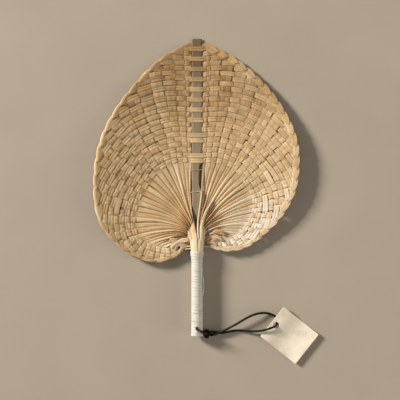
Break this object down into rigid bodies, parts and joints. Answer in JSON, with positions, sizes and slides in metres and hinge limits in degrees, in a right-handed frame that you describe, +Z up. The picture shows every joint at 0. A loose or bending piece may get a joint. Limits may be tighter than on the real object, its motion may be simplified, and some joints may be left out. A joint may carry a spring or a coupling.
{
  "type": "palm leaf hand fan",
  "caption": "Hand fan woven from a palm leaf: a heart-shaped plaited blade on a stiff spine, a tape-wound handle, and a leather hanging cord with a plain tag.",
  "frame": {"origin": "middle of the fan's own box, without its cord and tag, on the surface that the fan lies on", "axes": "+Y up the spine to the tip, +Z up off the surface through the front, +X to the right"},
  "size_m": [0.2797, 0.4048, 0.0228],
  "materials": {
    "leaf_strip": "dried palm leaf, pleated",
    "weft_leaf": "dried palm leaf strip",
    "leaf_base": "smooth dried leaf base",
    "spine": "weathered leaf rib",
    "thread": "plant-fibre thread",
    "stick": "raw leaf stalk",
    "tape": "pale split-leaf tape",
    "cord": "black waxed leather cord",
    "card": "plain uncoated card"
  },
  "bodies": {
    "fan": {"leaf_segment_left_1": "leaf_strip", "leaf_segment_left_2": "leaf_strip", "leaf_segment_left_3": "leaf_strip", "leaf_segment_left_4": "leaf_strip", "leaf_segment_left_5": "leaf_strip", "leaf_segment_left_6": "leaf_strip", "leaf_segment_left_7": "leaf_strip", "leaf_segment_left_8": "leaf_strip", "leaf_segment_left_9": "leaf_strip", "leaf_segment_right_1": "leaf_strip", "leaf_segment_right_2": "leaf_strip", "leaf_segment_right_3": "leaf_strip", "leaf_segment_right_4": "leaf_strip", "leaf_segment_right_5": "leaf_strip", "leaf_segment_right_6": "leaf_strip", "leaf_segment_right_7": "leaf_strip", "leaf_segment_right_8": "leaf_strip", "leaf_segment_right_9": "leaf_strip", "rim_braid_left": "weft_leaf", "rim_braid_right": "weft_leaf", "neck_sheath_left": "leaf_base", "neck_sheath_right": "leaf_base", "weft_strip_1": "weft_leaf", "weft_strip_2": "weft_leaf", "weft_strip_3": "weft_leaf", "weft_strip_4": "weft_leaf", "weft_strip_5": "weft_leaf", "weft_strip_6": "weft_leaf", "weft_strip_7": "weft_leaf", "weft_strip_8": "weft_leaf", "weft_strip_9": "weft_leaf", "weft_strip_10": "weft_leaf", "weft_strip_11": "weft_leaf", "spine_rib": "spine", "spine_tie": "thread", "handle_core": "stick", "handle_winding": "tape"},
    "cord": {"cord_eye": "cord", "cord_loop": "cord", "cord_knot": "cord"},
    "tag": {"tag_card": "card"}
  },
  "joints": [
    {"name": "cord_swing", "type": "hinge", "parent": "fan", "child": "cord", "pos_m": [0.00075, -0.17588, 0.0104], "axis": [0, 0, 1], "range_deg": [-175, 40]},
    {"name": "tag_swing", "type": "hinge", "parent": "cord", "child": "tag", "pos_m": [0.09965, -0.17188, 0.0045], "axis": [0, 0, 1], "range_deg": [-30, 30]}
  ]
}
